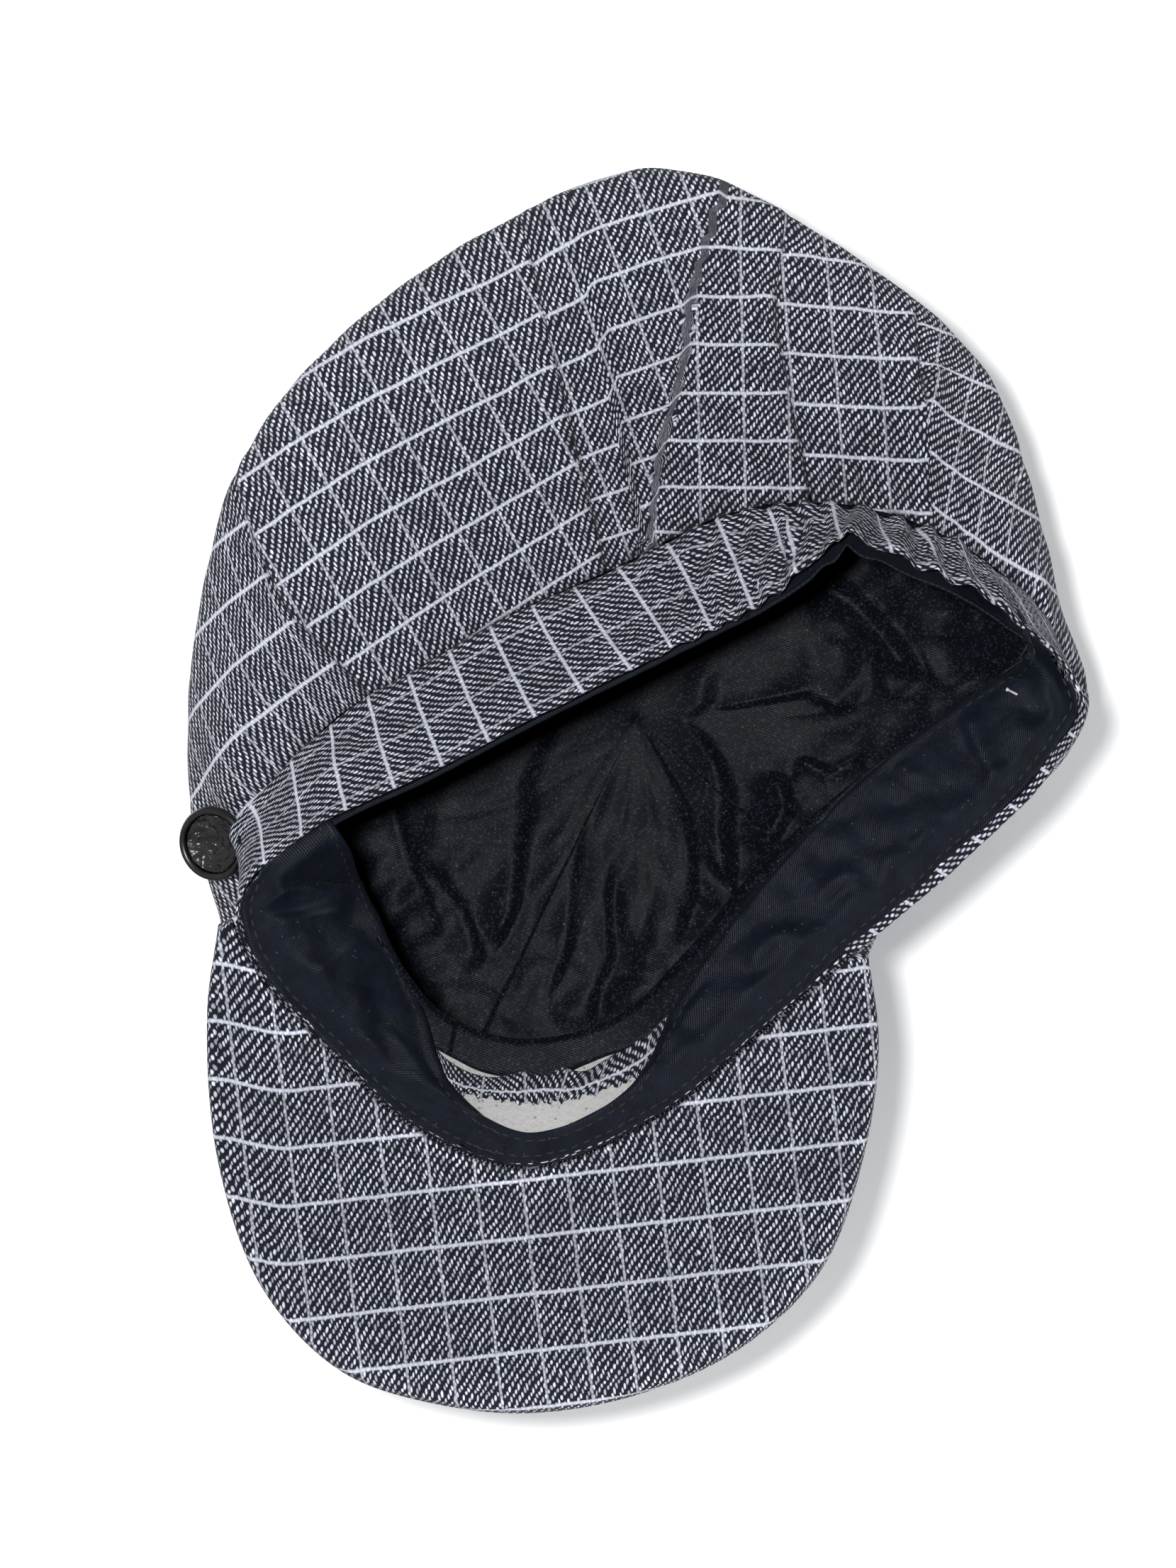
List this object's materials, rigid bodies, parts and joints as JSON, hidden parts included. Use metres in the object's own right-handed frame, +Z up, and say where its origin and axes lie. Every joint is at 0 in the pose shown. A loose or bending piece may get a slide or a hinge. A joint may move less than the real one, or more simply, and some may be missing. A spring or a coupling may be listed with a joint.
{
  "type": "newsboy cap",
  "caption": "Soft panelled newsboy cap with a stiff curved brim, a lined crown, a gathered headband and side studs.",
  "frame": {"origin": "middle of the bounding box, on the plane that the headband's lower rim stands on", "axes": "+Z up towards the crown button, the way the cap is worn; the brim points to -Y, the back of the crown to +Y and +X is the wearer's left"},
  "size_m": [0.2456, 0.3336, 0.097],
  "materials": {
    "plaid_wool": "coarse flecked wool twill with a white windowpane check",
    "lining_satin": "black twill-weave satin, low sheen",
    "sweatband_tape": "navy-black twill tape",
    "white_felt": "matt non-woven stiffener",
    "elastic": "matt",
    "brim_board": "matt",
    "gunmetal": "dark glossy gunmetal, hammered dish",
    "nylon": "translucent white"
  },
  "bodies": {
    "root": {"crown_panel_1": "plaid_wool", "crown_panel_2": "plaid_wool", "crown_panel_3": "plaid_wool", "crown_panel_4": "plaid_wool", "crown_panel_5": "plaid_wool", "crown_panel_6": "plaid_wool", "crown_panel_7": "plaid_wool", "crown_panel_8": "plaid_wool", "headband_left": "plaid_wool", "headband_back_gathered": "plaid_wool", "headband_right": "plaid_wool", "headband_front": "plaid_wool", "brim_under_cover": "plaid_wool", "brim_top_cover": "plaid_wool", "crown_button_cover": "plaid_wool", "lining_panel_1": "lining_satin", "lining_panel_2": "lining_satin", "lining_panel_3": "lining_satin", "lining_panel_4": "lining_satin", "sweatband_left": "sweatband_tape", "sweatband_right": "sweatband_tape", "front_stiffener": "white_felt", "back_elastic": "elastic", "brim_board": "brim_board", "crown_button_core": "brim_board", "stud_left_rim": "gunmetal", "stud_left_dish": "gunmetal", "stud_left_post": "gunmetal", "stud_right_rim": "gunmetal", "stud_right_dish": "gunmetal", "stud_right_post": "gunmetal", "tag_fastener_stub": "nylon"}
  },
  "joints": []
}
